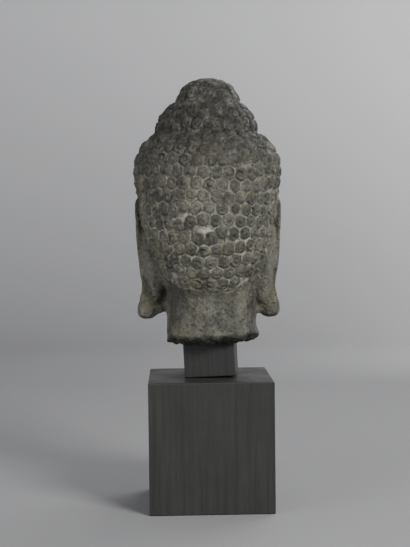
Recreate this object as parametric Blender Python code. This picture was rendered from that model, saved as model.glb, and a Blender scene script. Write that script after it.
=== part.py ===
"""A carved stone Buddha head on a small block and a plinth.

Three pieces: the plinth, the spacer block that leans a little on it, and the head, one block of
stone with its curls, crown, ears and broken neck. The face looks along -Y, and the origin is
under the middle of the plinth.
"""

import math

import bpy
import numpy as np

# Sizes in metres
HEAD_HEIGHT = 0.331
PLINTH_WIDTH = 0.152
PLINTH_DEPTH = 0.152
PLINTH_HEIGHT = 0.160
PLINTH_EDGE = 0.0015
SPACER_WIDTH = 0.063
SPACER_DEPTH = 0.063
SPACER_HEIGHT = 0.0555
SPACER_EDGE = 0.0010
SPACER_LEAN = math.radians(2.3)
SPACER_TURN = math.radians(-6)
SPACER_ASIDE = -0.002
SEAT_DEPTH = 0.016
SEAT_PLAY = 0.0010
TOUCH_GAP = 0.0003

# The head is carved in parts of its own height, measured up from the lowest point of the neck.
HEAD_PARTS = 331.0
PART = HEAD_HEIGHT / HEAD_PARTS
HEAD_FACETS = 9300
CARVING_STEP = 2.0

# Hair without its curls: middle, half-width, half-depth, rise, drop and squareness
CRANIUM = dict(middle=(0, 4, 212), across=89.3, deep=93.5, rise=61.5, drop=178, square=2.35,
               waist=0.042)
MIDDLE_TIER = dict(middle=(0, 6, 262), across=61.8, deep=63, rise=47, drop=60, square=2.1,
                   waist=0)
TOP_KNOT = dict(middle=(-1.6, 6, 295), across=38.6, deep=39.5, rise=34.2, drop=50, square=2.15,
                waist=0)
WAIST_REACH = 32

# Curls: rows and radius as shares of the distance between curls, and how far they stand out;
# the rows below the arc's top rise beside the nape with the hairline; each tier has its lowest
# and highest row and its share of the distance
ROW_SHARE = 1.0
CURL_RADIUS = 0.58
CURL_RELIEF = 3.6
HAIRLINE_ROOM = 11
ROW_SEARCH = 0.25
ROW_ARC = 12
ARC_TOP = 190
CURL_SPACING = 15.3
CURL_TIERS = ((CRANIUM, 76, 256, 1.0), (MIDDLE_TIER, 269, 296, 0.88), (TOP_KNOT, 306.5, 329, 0.80))

# Box around the head in its own parts
HEAD_LOW = (-98, -112, -6)
HEAD_HIGH = (98, 108, 340)

# Bearing from the front in degrees, and the height of the hairline there
HAIRLINE = ((0, 218), (18, 216), (36, 208), (50, 196), (62, 188), (74, 188), (88, 189), (96, 180),
            (102, 160), (108, 137), (114, 116), (121, 96), (128, 85), (137, 77.5), (149, 70.5),
            (162, 67.5), (180, 66.5))

# Ear: height, distance out of its outer edge, distance back of its middle line, half its length
# from front to back, half its thickness, and the degrees by which its rear edge is turned out
EAR_LINE = ((30, 88.6, 3, 12, 8.5, 48), (37, 89.6, 3, 14, 9, 48), (44, 90.0, 3, 15, 9, 48),
            (54, 88.0, 3, 16, 8.5, 47), (64, 85.4, 4, 16, 8, 46), (74, 84.0, 5, 16, 7.5, 44),
            (90, 86.3, 6, 17, 7, 40), (111, 88.7, 6, 19, 6.5, 34), (136, 89.7, 6, 22, 6, 30),
            (156, 90.7, 6, 23, 5.5, 27), (170, 90.8, 6, 20, 5, 26), (179, 89.5, 5, 14, 4.5, 25),
            (184, 86, 5, 6, 3, 25))
LOBE_END = 31.2

# Face: heights of the features, and how far some of them lie out from the middle line
URNA_HEIGHT = 183
BROW_HEIGHT = 163
BROW_ARCH = 13
EYE_HEIGHT = 150
EYE_OUT = 31
NOSE_TOP = 168
NOSE_BASE = 113
NOSTRIL_OUT = 13
CHEEK_OUT = 38
LIP_HEIGHT = 95
MOUTH_HALF = 24
CHIN_FOLD = 82

# Rounded masses under the skin: middle and half-sizes
FACE_EGG = ((0, -16, 152), (69, 70, 91))
FACE_TILT = 0.06
CHIN = ((0, -52, 74), (30, 26, 19))
FOREHEAD = ((0, -8, 198), (77, 79, 66))
SKULL_DROP = 82
SKULL_BASE = ((0, 18, 130), (71, 60, 85))
EAR_WEB = ((62, 3, 96), (19, 12, 58))
BEHIND_EAR = ((66, 15, 116), (16.5, 21, 66))
EAR_HOLLOW = ((1, 7, 150), (12, 7, 24))
LOBE_SLIT = ((0, 1, 74), (4.5, 4.5, 28))

# Neck: its middle and half-sizes in plan, and the broken rim: its slope from side to side, the
# slopes of its two corners, and how far its rear stands above the rest
NECK_MIDDLE = (-3.3, 5)
NECK_ACROSS = 55.7
NECK_DEEP = 55
NECK_TOP = 100
CORNER_FLARE = 4.8
RIM_SLOPE = 0.035
RIM_MIDDLE = 33
LEFT_CORNER_SLOPE = 0.10
RIGHT_CORNER = -55
RIGHT_CORNER_SLOPE = 0.75
REAR_LIP = 8


def along(stations, place, column=1):
    """The smooth value of one column of the stations at each place."""
    table = np.array(stations, float)
    where, value = table[:, 0], table[:, column]
    slope = np.gradient(value, where)
    place = np.clip(place, where[0], where[-1])
    i = np.clip(np.searchsorted(where, place) - 1, 0, len(where) - 2)
    width = where[i + 1] - where[i]
    t = (place - where[i]) / width
    ends = (1 + 2 * t) * (1 - t) ** 2 * value[i] + t * t * (3 - 2 * t) * value[i + 1]
    return ends + width * t * (1 - t) * ((1 - t) * slope[i] - t * slope[i + 1])


def ramp(value, start, end):
    """A soft step from 0 at the start to 1 at the end."""
    t = np.clip((value - start) / (end - start), 0, 1)
    return t * t * (3 - 2 * t)


def join(a, b, width):
    """The union of two fields, with the crease between them filled to a width."""
    mix = np.clip(0.5 + 0.5 * (b - a) / width, 0, 1)
    return b + (a - b) * mix - width * mix * (1 - mix)


def trim(a, b, width):
    """The part common to two fields, with the edge between them rounded to a width."""
    return -join(-a, -b, width)


def ellipsoid(x, y, z, middle, radii):
    """About the distance from an ellipsoid, negative inside it."""
    q = [(v - m) / r for v, m, r in zip((x, y, z), middle, radii)]
    near = np.sqrt(q[0] ** 2 + q[1] ** 2 + q[2] ** 2)
    steep = np.sqrt(sum((v / r) ** 2 for v, r in zip(q, radii)))
    return near * (near - 1) / np.maximum(steep, 1e-9)


def dome_ratio(x, y, z, shape):
    """How far out a point lies on a dome that is elliptical in plan, 1 on its surface."""
    waist = 1 - shape["waist"] * ramp(shape["middle"][2] - z, 0, WAIST_REACH)
    plan = np.hypot((x - shape["middle"][0]) / (shape["across"] * waist),
                    (y - shape["middle"][1]) / shape["deep"])
    up = z - shape["middle"][2]
    tall = np.abs(up) / np.where(up > 0, shape["rise"], shape["drop"])
    return (plan ** shape["square"] + tall ** shape["square"]) ** (1 / shape["square"])


def dome(x, y, z, shape, inset=0):
    """About the distance from a dome, negative inside it."""
    mid = shape["middle"]
    reach = np.sqrt((x - mid[0]) ** 2 + (y - mid[1]) ** 2 + (z - mid[2]) ** 2)
    ratio = np.maximum(dome_ratio(x, y, z, shape), 1e-6)
    return (1 - 1 / ratio) * reach + inset


def bump(x, z, middle_x, middle_z, across, tall):
    """A rounded mound of height 1 on the front of the face."""
    inside = 1 - ((x - middle_x) / across) ** 2 - ((z - middle_z) / tall) ** 2
    return np.clip(inside, 0, 1) ** 1.2


def face_relief(x, z):
    """How far the features stand out from the plain face, towards the front."""
    side = np.abs(x)
    down = np.clip((NOSE_TOP - z) / (NOSE_TOP - NOSE_BASE), 0, 1)
    nose = (5 + 11 * down) * np.exp(-(side / (7.5 + 5 * down)) ** 2.5)
    relief = nose * ramp(z, NOSE_BASE - 5, NOSE_BASE + 8) * (1 - ramp(z, NOSE_TOP - 8, NOSE_TOP + 14))
    relief = relief + 6 * bump(side, z, NOSTRIL_OUT, NOSE_BASE + 6, 8, 8)
    relief = relief + 3 * bump(side, z, CHEEK_OUT, NOSE_BASE + 2, 26, 24)
    lip_line = LIP_HEIGHT + 4 * (side / MOUTH_HALF) ** 2
    bow = 1.5 * np.exp(-((side - 6) / 5) ** 2)
    upper = np.exp(-((z - lip_line - 5 - bow) / 5) ** 2) * (1 - ramp(side, 14, MOUTH_HALF + 4))
    lower = np.exp(-((z - lip_line + 6.5) / 5.5) ** 2) * (1 - ramp(side, 8, MOUTH_HALF + 1))
    mouth = np.exp(-((z - lip_line) / 2) ** 2) * (1 - ramp(side, MOUTH_HALF - 3, MOUTH_HALF + 5))
    relief = relief + 5.5 * upper + 6 * lower - 3.5 * mouth
    relief = relief - 2 * bump(side, z, MOUTH_HALF + 5, LIP_HEIGHT + 4, 5, 6)
    relief = relief - 1.5 * np.exp(-((z - CHIN_FOLD) / 3.5) ** 2) * (1 - ramp(side, 8, 22))
    arch = BROW_HEIGHT + BROW_ARCH * np.sin(np.pi * np.clip((side - 2) / 66, 0, 1)) ** 0.8
    under = arch - z
    socket = ramp(under, 0, 9) * (1 - ramp(under, 14, 32)) * ramp(side, 4, 14)
    relief = relief - 7.5 * socket * (1 - ramp(side, 46, 62))
    relief = relief + 8 * bump(side, z, EYE_OUT, EYE_HEIGHT, 20, 13)
    bend = ((side - EYE_OUT) / 18) ** 2
    slit = np.exp(-((z - EYE_HEIGHT + 4 - 3 * bend) / 1.8) ** 2)
    relief = relief - 2.5 * slit * bump(side, z, EYE_OUT, EYE_HEIGHT - 3, 20, 12)
    lid = np.exp(-((z - EYE_HEIGHT - 5 + 6 * bend) / 1.6) ** 2)
    relief = relief - 1.2 * lid * bump(side, z, EYE_OUT, EYE_HEIGHT + 3, 20, 10)
    brow = np.exp(-(under / 3.5) ** 2) * ramp(side, 3, 10) * (1 - ramp(side, 50, 62))
    return relief + 2.5 * brow + 3 * bump(x, z, 0, URNA_HEIGHT, 5.5, 5.5)


def bearing(x, y):
    """Degrees around the head from the middle of the face, 0 to 180 on either side."""
    return np.degrees(np.arctan2(np.abs(x), -(y - CRANIUM["middle"][1])))


def ear(x, y, z):
    """One long ear on each side, with its hollow and the slit in its lobe."""
    side = np.abs(x)
    edge, back, length, thick, turn = (along(EAR_LINE, z, column) for column in range(1, 6))
    turn = np.radians(turn)
    out = edge - length * np.sin(turn) - 0.3 * thick
    rearward = (side - out) * np.sin(turn) + (y - back) * np.cos(turn)
    outward = (side - out) * np.cos(turn) - (y - back) * np.sin(turn)
    band = (np.sqrt((rearward / length) ** 2 + (outward / thick) ** 2) - 1) * thick
    top = np.maximum(z - EAR_LINE[-1][0], 0)
    hollow = ellipsoid(rearward, outward, z, *EAR_HOLLOW)
    slit = ellipsoid(rearward, outward - thick, z, *LOBE_SLIT)
    pierced = trim(band + top, -join(hollow, slit, 3), 2.5)
    return trim(pierced, LOBE_END - z, 9)


def flesh(x, y, z):
    """Face, skull under the hair, and neck."""
    side = np.abs(x)
    front = y + face_relief(x, z) * (1 - ramp(y, -50, -20))
    egg = ellipsoid(x, front + FACE_TILT * (FACE_EGG[0][2] - z), z, *FACE_EGG)
    face = join(join(egg, ellipsoid(x, front, z, *CHIN), 14), ellipsoid(x, front, z, *FOREHEAD), 8)
    skull = dome(x, y, z, dict(CRANIUM, drop=SKULL_DROP), 6)
    head = join(face, join(skull, ellipsoid(x, y, z, *SKULL_BASE), 14), 10)
    flare = CORNER_FLARE * ramp(-x, 25, 55) * np.exp(-((z - 8) / 9) ** 2)
    plan = np.hypot((x - NECK_MIDDLE[0]) / NECK_ACROSS, (y - NECK_MIDDLE[1]) / NECK_DEEP)
    neck = trim((plan - 1) * NECK_DEEP - flare, z - NECK_TOP, 8)
    sides = join(ellipsoid(side, y, z, *EAR_WEB), ellipsoid(side, y, z, *BEHIND_EAR), 6)
    return join(join(head, neck, 7), sides, 8)


def hair(x, y, z):
    """The three tiers of hair without their curls, ending at the hairline."""
    above = (along(HAIRLINE, bearing(x, y)) - z) * 0.7
    low = trim(dome(x, y, z, CRANIUM), above, 2)
    return join(join(low, dome(x, y, z, MIDDLE_TIER), 8), dome(x, y, z, TOP_KNOT), 8)


def broken_rim(x, y):
    """Height of the neck's broken underside, higher at the back and at one corner."""
    level = RIM_SLOPE * (RIM_MIDDLE - x) + LEFT_CORNER_SLOPE * np.maximum(x - RIM_MIDDLE, 0)
    level = level + RIGHT_CORNER_SLOPE * np.maximum(RIGHT_CORNER - x, 0)
    rear = ramp(np.hypot(x - NECK_MIDDLE[0], y - NECK_MIDDLE[1]), 44, 57) * ramp(y, 8, 32)
    chips = 0.7 * np.sin(x / 5.3 + y / 9.1) + 0.5 * np.sin(y / 4.1 - x / 7.7)
    return level + REAR_LIP * rear + chips + 1.0


def head_field(x, y, z):
    """The whole head, negative in the stone."""
    solid = join(join(flesh(x, y, z), hair(x, y, z), 1.5), ear(x, y, z), 5)
    return trim(solid, broken_rim(x, y) - z, 1.5)


def on_dome(places, shape):
    """The places moved straight out from the middle of a dome onto its surface."""
    middle = np.array(shape["middle"], float)
    return middle + (places - middle) / dome_ratio(*places.T, shape)[:, None]


def dome_share(shape, height):
    """Size of a dome's level section at a height, as a share of its widest one."""
    up = height - shape["middle"][2]
    tall = abs(up) / (shape["rise"] if up > 0 else shape["drop"])
    return max(1 - tall ** shape["square"], 0) ** (1 / shape["square"])


def curl_rows(shape, low, high, spacing):
    """Staggered, slightly uneven rows of curls around a dome, from one height to another."""
    draw = np.random.default_rng(5)
    places = []
    height, row = low, 0
    while height <= high:
        share = dome_share(shape, height)
        wide, deep = shape["across"] * share, shape["deep"] * share
        number = max(round(math.pi * (wide + deep) / spacing), 1)
        for i in range(number):
            turn = math.pi + 2 * math.pi * (i + 0.5 * (row % 2) + draw.uniform(-0.2, 0.2)) / number
            wave = 0.12 * min(row, 3) * math.sin(3 * turn + 0.8 * row)
            uneven = spacing * (wave + draw.uniform(-0.22, 0.22))
            places.append((shape["middle"][0] + wide * math.sin(turn),
                           shape["middle"][1] - deep * math.cos(turn), height + uneven))
        walked = 0
        while walked < ROW_SHARE * spacing:
            narrower = share - dome_share(shape, height + ROW_SEARCH)
            walked += math.hypot(ROW_SEARCH, shape["across"] * narrower)
            height += ROW_SEARCH
            share -= narrower
        row += 1
    return np.array(places)


def hairline_room(places):
    """How far the middle of each curl lies above its lowest place over the hairline."""
    return places[:, 2] - along(HAIRLINE, bearing(places[:, 0], places[:, 1])) - HAIRLINE_ROOM


def curl_places():
    """Middles and radii of all the curls, eased apart on the surface of their tier."""
    top = (TOP_KNOT["middle"][0], TOP_KNOT["middle"][1], TOP_KNOT["middle"][2] + TOP_KNOT["rise"])
    tiers, radii = [[top]], [CURL_RADIUS * CURL_SPACING * CURL_TIERS[-1][3]]
    for shape, low, high, share in CURL_TIERS:
        spacing = CURL_SPACING * share
        places = curl_rows(shape, low, high, spacing)
        rise = along(HAIRLINE, bearing(places[:, 0], places[:, 1])) - HAIRLINE[-1][1]
        low_down = 1 - ramp(places[:, 2], HAIRLINE[-1][1], ARC_TOP)
        places[:, 2] += ROW_ARC * ramp(rise, 0, 50) * low_down
        places = places[hairline_room(places) > -HAIRLINE_ROOM]
        for _ in range(40):
            apart = places[:, None] - places[None]
            gap = np.linalg.norm(apart, axis=2) + 1e6 * np.eye(len(places))
            push = 0.22 * np.clip(spacing - gap, 0, None) / gap
            places = places + (apart * push[..., None]).sum(axis=1)
            places[:, 2] += np.clip(-hairline_room(places), 0, 2)
            places[:, 2] = np.clip(places[:, 2], low, high + 2)
            places = on_dome(places, shape)
        tiers.append(places)
        radii += [CURL_RADIUS * spacing] * len(places)
    return np.concatenate(tiers), np.array(radii)


def worn_crown(height):
    """How much of its height a curl keeps, less up the crown and least at its top."""
    return 1 - 0.35 * ramp(height, 245, 305) - 0.4 * ramp(height, 316, 329)


def gradient(field, points):
    """Direction and steepness of a field at each point."""
    reach = 0.4
    slopes = []
    for axis in range(3):
        shift = np.zeros(3)
        shift[axis] = reach
        slopes.append((field(*(points + shift).T) - field(*(points - shift).T)) / (2 * reach))
    return np.stack(slopes, axis=1)


def curl_height(points, normals):
    """How far the curls raise the surface at each point."""
    middles, radii = curl_places()
    height = np.zeros(len(points))
    for start in range(0, len(points), 4000):
        part = slice(start, start + 4000)
        away = points[part, None] - middles[None]
        nearest = np.argmin((away ** 2).sum(axis=2), axis=1)
        away = away[np.arange(len(nearest)), nearest]
        upright = (away * normals[part]).sum(axis=1)
        distance = np.sqrt(np.maximum((away ** 2).sum(axis=1) - upright ** 2, 0))
        height[part] = np.clip(1 - (distance / radii[nearest]) ** 2.6, 0, 1) ** 0.6
    on_hair = 1 - ramp(hair(*points.T), 0.5, 2.5)
    return CURL_RELIEF * height * on_hair * worn_crown(points[:, 2])


def fill_pinches(value):
    """Adds stone where two walls would meet along a bare edge of the grid."""
    for one, two in ((0, 1), (0, 2), (1, 2)) * 4:
        corners = []
        for first in (slice(None, -1), slice(1, None)):
            for second in (slice(None, -1), slice(1, None)):
                window = [slice(None)] * 3
                window[one], window[two] = first, second
                corners.append(value[tuple(window)])
        inside = [corner < 0 for corner in corners]
        pinched = (inside[0] == inside[3]) & (inside[1] == inside[2]) & (inside[0] != inside[1])
        for corner in corners:
            corner[pinched] = np.minimum(corner[pinched], -0.1)


def carved(field, low, high, step):
    """Points and four-sided faces of a field's surface, one point for each cell it crosses."""
    axes = [np.arange(a, b + step, step) for a, b in zip(low, high)]
    value = np.empty([len(axis) for axis in axes])
    across, deep = np.meshgrid(axes[0], axes[1], indexing="ij")
    for level, height in enumerate(axes[2]):
        value[:, :, level] = field(across.ravel(), deep.ravel(),
                                   np.full(across.size, height)).reshape(across.shape)
    for axis in range(3):
        value = (np.roll(value, 1, axis) + 2 * value + np.roll(value, -1, axis)) / 4
    fill_pinches(value)
    inside = value < 0
    cells = tuple(n - 1 for n in value.shape)

    def corner(grid, offset):
        return grid[tuple(slice(o, o + n) for o, n in zip(offset, cells))]

    total = np.zeros(cells + (3,))
    crossings = np.zeros(cells)
    for axis in range(3):
        for first in (0, 1):
            for second in (0, 1):
                start = np.insert([first, second], axis, 0)
                end = np.insert([first, second], axis, 1)
                a, b = corner(value, start), corner(value, end)
                crossed = (a < 0) != (b < 0)
                place = np.where(crossed, a / np.where(crossed, a - b, 1), 0)
                for other in range(3):
                    total[..., other] += crossed * (place if other == axis else start[other])
                crossings += crossed
    used = crossings > 0
    index = np.full(cells, -1)
    index[used] = np.arange(used.sum())
    points = (np.argwhere(used) + total[used] / crossings[used][:, None]) * step + np.array(low)

    faces = []
    for axis in range(3):
        one, two = (axis + 1) % 3, (axis + 2) % 3
        ahead = np.roll(inside, -1, axis)
        edges = np.argwhere(inside != ahead)
        edges = edges[(edges[:, one] > 0) & (edges[:, two] > 0) & (edges[:, axis] < cells[axis])]
        ring = []
        for back_one, back_two in ((0, 0), (1, 0), (1, 1), (0, 1)):
            cell = edges.copy()
            cell[:, one] -= back_one
            cell[:, two] -= back_two
            ring.append(index[tuple(cell.T)])
        ring = np.stack(ring, axis=1)
        outward = inside[tuple(edges.T)]
        faces.append(np.where(outward[:, None], ring, ring[:, ::-1]))
    return points, np.concatenate(faces)


def material(name, colour, roughness):
    """A plain material with its own colour and roughness."""
    made = bpy.data.materials.new(name)
    made.use_nodes = True
    shader = made.node_tree.nodes["Principled BSDF"]
    shader.inputs["Base Color"].default_value = (*colour, 1)
    shader.inputs["Roughness"].default_value = roughness
    shader.inputs["Metallic"].default_value = 0
    return made


def block(name, width, depth, height, location, lean=0, turn=0):
    """A box around its location, leaning sideways and turned about the upright."""
    bpy.ops.mesh.primitive_cube_add(size=1, location=location, rotation=(0, lean, turn))
    made = bpy.context.object
    made.name = name
    made.data.name = name
    for vertex in made.data.vertices:
        vertex.co.x *= width
        vertex.co.y *= depth
        vertex.co.z *= height
    return made


def eased_edges(made, width):
    """Small rounded edges all around a block."""
    bevel = made.modifiers.new("Eased edges", "BEVEL")
    bevel.width = width
    bevel.segments = 2


def make_plinth():
    """The big block, standing on the table."""
    made = block("plinth", PLINTH_WIDTH, PLINTH_DEPTH, PLINTH_HEIGHT,
                 (0, 0, PLINTH_HEIGHT / 2))
    eased_edges(made, PLINTH_EDGE)
    made.data.materials.append(material("plinth wood", (0.045, 0.046, 0.040), 0.45))


def spacer_middle():
    """Middle of the leaning spacer block, whose lower edge touches the plinth."""
    rise = SPACER_HEIGHT / 2 * math.cos(SPACER_LEAN) + SPACER_WIDTH / 2 * math.sin(SPACER_LEAN)
    return SPACER_ASIDE, 0, PLINTH_HEIGHT + TOUCH_GAP + rise


def make_spacer():
    """The small block under the neck, with one foot a little off the plinth."""
    made = block("neck_block", SPACER_WIDTH, SPACER_DEPTH, SPACER_HEIGHT, spacer_middle(),
                 SPACER_LEAN, SPACER_TURN)
    eased_edges(made, SPACER_EDGE)
    made.data.materials.append(material("spacer wood", (0.036, 0.035, 0.032), 0.55))


def seat_cutter():
    """The space that the spacer block fills in the neck, with play at its sides."""
    cutter = block("seat cutter", SPACER_WIDTH + 2 * SEAT_PLAY, SPACER_DEPTH + 2 * SEAT_PLAY,
                   SPACER_HEIGHT + 2 * TOUCH_GAP, spacer_middle(), SPACER_LEAN, SPACER_TURN)
    cutter.hide_render = True
    cutter.display_type = "WIRE"
    return cutter


def neck_bottom():
    """Height of the lowest point of the neck."""
    top = spacer_middle()[2] + SPACER_HEIGHT / 2 * math.cos(SPACER_LEAN)
    return top - SEAT_DEPTH


def make_head():
    """The carved stone: surface, curls, fewer facets, then the seat in the neck."""
    points, faces = carved(head_field, HEAD_LOW, HEAD_HIGH, CARVING_STEP)
    for _ in range(2):
        slope = gradient(head_field, points)
        steep = np.maximum((slope ** 2).sum(axis=1), 0.05)
        move = head_field(*points.T) / steep
        points = points - slope * np.clip(move, -1, 1)[:, None]
    slope = gradient(head_field, points)
    normals = slope / np.maximum(np.linalg.norm(slope, axis=1), 1e-9)[:, None]
    points = points + normals * curl_height(points, normals)[:, None]
    mesh = bpy.data.meshes.new("buddha_head")
    mesh.from_pydata((points * PART).tolist(), [], faces.tolist())
    mesh.update()
    made = bpy.data.objects.new("buddha_head", mesh)
    bpy.context.collection.objects.link(made)
    made.location.z = neck_bottom()
    fewer = made.modifiers.new("Fewer facets", "DECIMATE")
    fewer.ratio = HEAD_FACETS / (2 * len(faces))
    fewer.use_collapse_triangulate = True
    seat = made.modifiers.new("Seat", "BOOLEAN")
    seat.operation = "DIFFERENCE"
    seat.object = seat_cutter()
    mesh.materials.append(material("dark volcanic stone", (0.110, 0.107, 0.092), 0.85))


for leftover in list(bpy.data.objects):
    bpy.data.objects.remove(leftover)
make_plinth()
make_spacer()
make_head()
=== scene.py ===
import math

import bmesh
import bpy
import numpy as np
from mathutils import Matrix, Vector


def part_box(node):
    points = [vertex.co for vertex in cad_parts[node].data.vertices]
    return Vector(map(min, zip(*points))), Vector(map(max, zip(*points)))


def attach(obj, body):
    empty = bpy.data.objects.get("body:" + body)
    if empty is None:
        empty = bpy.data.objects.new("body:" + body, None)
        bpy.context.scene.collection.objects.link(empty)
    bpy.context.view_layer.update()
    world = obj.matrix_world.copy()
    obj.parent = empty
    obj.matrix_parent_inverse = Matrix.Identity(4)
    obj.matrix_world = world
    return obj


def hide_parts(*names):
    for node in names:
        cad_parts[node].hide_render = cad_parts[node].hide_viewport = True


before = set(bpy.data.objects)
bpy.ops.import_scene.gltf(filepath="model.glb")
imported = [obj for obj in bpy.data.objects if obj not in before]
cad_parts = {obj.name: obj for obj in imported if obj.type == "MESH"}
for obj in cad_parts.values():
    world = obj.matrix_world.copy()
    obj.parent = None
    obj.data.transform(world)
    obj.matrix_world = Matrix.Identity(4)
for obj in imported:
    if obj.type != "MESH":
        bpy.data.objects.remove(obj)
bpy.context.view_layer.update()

# Head
# One block of dark, porous volcanic stone, carved all round and worn by weather. The ears, the
# curls and the stepped crown belong to the block, and the neck ends in a rough break. It rests
# on the spacer block, whose top stands in a shallow seat in the neck.

# The head is carved in parts of its own height, measured up from the lowest point of the neck.
HEAD_HEIGHT = 0.331
HEAD_PARTS = 331.0
PART = HEAD_HEIGHT / HEAD_PARTS
HEAD_TRIANGLES = 197000
CARVING_STEP = 1.25
NEAR_SURFACE = 4.0

# Spacer block: its size, lean, turn and seat in the neck, and in parts the square and the height
# within which the stone round the seat isn't weathered
SPACER_SIZE = Vector((0.063, 0.063, 0.0555))
SPACER_LEAN = math.radians(2.3)
SPACER_TURN = math.radians(-6)
SEAT_DEPTH = 0.016
SEAT_PLAY = 0.0010
TOUCH_GAP = 0.0003
SEAT_REACH = 38
SEAT_TOP = 22

# Hair without its curls: middle, half-width, half-depth, rise, drop and squareness
CRANIUM = dict(middle=(0, 4, 212), across=89.3, deep=93.5, rise=61.5, drop=178, square=2.35,
               waist=0.042)
MIDDLE_TIER = dict(middle=(0, 6, 262), across=61.8, deep=63, rise=47, drop=60, square=2.1,
                   waist=0)
TOP_KNOT = dict(middle=(-1.6, 6, 295), across=38.6, deep=39.5, rise=34.2, drop=50, square=2.15,
                waist=0)
WAIST_REACH = 32

# Curls: rows and radius as shares of the distance between curls, and how far they stand out;
# the rows below the arc's top rise beside the nape with the hairline; each tier has its lowest
# and highest row and its share of the distance
ROW_SHARE = 1.0
CURL_RADIUS = 0.58
CURL_RELIEF = 3.6
HAIRLINE_ROOM = 11
ROW_SEARCH = 0.25
ROW_ARC = 12
ARC_TOP = 190
CURL_SPACING = 15.3
CURL_TIERS = ((CRANIUM, 76, 256, 1.0), (MIDDLE_TIER, 269, 296, 0.88), (TOP_KNOT, 306.5, 329, 0.80))

# Box around the head in its own parts
HEAD_LOW = (-98, -112, -6)
HEAD_HIGH = (98, 108, 340)

# Bearing from the front in degrees, and the height of the hairline there
HAIRLINE = ((0, 218), (18, 216), (36, 208), (50, 196), (62, 188), (74, 188), (88, 189), (96, 180),
            (102, 160), (108, 137), (114, 116), (121, 96), (128, 85), (137, 77.5), (149, 70.5),
            (162, 67.5), (180, 66.5))

# Ear: height, distance out of its outer edge, distance back of its middle line, half its length
# from front to back, half its thickness, and the degrees by which its rear edge is turned out
EAR_LINE = ((30, 88.6, 3, 12, 8.5, 48), (37, 89.6, 3, 14, 9, 48), (44, 90.0, 3, 15, 9, 48),
            (54, 88.0, 3, 16, 8.5, 47), (64, 85.4, 4, 16, 8, 46), (74, 84.0, 5, 16, 7.5, 44),
            (90, 86.3, 6, 17, 7, 40), (111, 88.7, 6, 19, 6.5, 34), (136, 89.7, 6, 22, 6, 30),
            (156, 90.7, 6, 23, 5.5, 27), (170, 90.8, 6, 20, 5, 26), (179, 89.5, 5, 14, 4.5, 25),
            (184, 86, 5, 6, 3, 25))
LOBE_END = 31.2

# Face: heights of the features, and how far some of them lie out from the middle line
URNA_HEIGHT = 183
BROW_HEIGHT = 163
BROW_ARCH = 13
EYE_HEIGHT = 150
EYE_OUT = 31
NOSE_TOP = 168
NOSE_BASE = 113
NOSTRIL_OUT = 13
CHEEK_OUT = 38
LIP_HEIGHT = 95
MOUTH_HALF = 24
CHIN_FOLD = 82

# Rounded masses under the skin: middle and half-sizes
FACE_EGG = ((0, -16, 152), (69, 70, 91))
FACE_TILT = 0.06
CHIN = ((0, -52, 74), (30, 26, 19))
FOREHEAD = ((0, -8, 198), (77, 79, 66))
SKULL_DROP = 82
SKULL_BASE = ((0, 18, 130), (71, 60, 85))
EAR_WEB = ((62, 3, 96), (19, 12, 58))
BEHIND_EAR = ((66, 15, 116), (16.5, 21, 66))
EAR_HOLLOW = ((1, 7, 150), (12, 7, 24))
LOBE_SLIT = ((0, 1, 74), (4.5, 4.5, 28))

# Neck: its middle and half-sizes in plan, and the broken rim: its slope from side to side, the
# slopes of its two corners, and how far its rear stands above the rest
NECK_MIDDLE = (-3.3, 5)
NECK_ACROSS = 55.7
NECK_DEEP = 55
NECK_TOP = 100
CORNER_FLARE = 4.8
RIM_SLOPE = 0.035
RIM_MIDDLE = 33
LEFT_CORNER_SLOPE = 0.10
RIGHT_CORNER = -55
RIGHT_CORNER_SLOPE = 0.75
REAR_LIP = 8


def along(stations, place, column=1):
    """The smooth value of one column of the stations at each place."""
    table = np.array(stations, float)
    where, value = table[:, 0], table[:, column]
    slope = np.gradient(value, where)
    place = np.clip(place, where[0], where[-1])
    i = np.clip(np.searchsorted(where, place) - 1, 0, len(where) - 2)
    width = where[i + 1] - where[i]
    t = (place - where[i]) / width
    ends = (1 + 2 * t) * (1 - t) ** 2 * value[i] + t * t * (3 - 2 * t) * value[i + 1]
    return ends + width * t * (1 - t) * ((1 - t) * slope[i] - t * slope[i + 1])


def ramp(value, start, end):
    """A soft step from 0 at the start to 1 at the end."""
    t = np.clip((value - start) / (end - start), 0, 1)
    return t * t * (3 - 2 * t)


def join(a, b, width):
    """The union of two fields, with the crease between them filled to a width."""
    mix = np.clip(0.5 + 0.5 * (b - a) / width, 0, 1)
    return b + (a - b) * mix - width * mix * (1 - mix)


def trim(a, b, width):
    """The part common to two fields, with the edge between them rounded to a width."""
    return -join(-a, -b, width)


def ellipsoid(x, y, z, middle, radii):
    """About the distance from an ellipsoid, negative inside it."""
    q = [(v - m) / r for v, m, r in zip((x, y, z), middle, radii)]
    near = np.sqrt(q[0] ** 2 + q[1] ** 2 + q[2] ** 2)
    steep = np.sqrt(sum((v / r) ** 2 for v, r in zip(q, radii)))
    return near * (near - 1) / np.maximum(steep, 1e-9)


def dome_ratio(x, y, z, shape):
    """How far out a point lies on a dome that is elliptical in plan, 1 on its surface."""
    waist = 1 - shape["waist"] * ramp(shape["middle"][2] - z, 0, WAIST_REACH)
    plan = np.hypot((x - shape["middle"][0]) / (shape["across"] * waist),
                    (y - shape["middle"][1]) / shape["deep"])
    up = z - shape["middle"][2]
    tall = np.abs(up) / np.where(up > 0, shape["rise"], shape["drop"])
    return (plan ** shape["square"] + tall ** shape["square"]) ** (1 / shape["square"])


def dome(x, y, z, shape, inset=0):
    """About the distance from a dome, negative inside it."""
    mid = shape["middle"]
    reach = np.sqrt((x - mid[0]) ** 2 + (y - mid[1]) ** 2 + (z - mid[2]) ** 2)
    ratio = np.maximum(dome_ratio(x, y, z, shape), 1e-6)
    return (1 - 1 / ratio) * reach + inset


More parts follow.
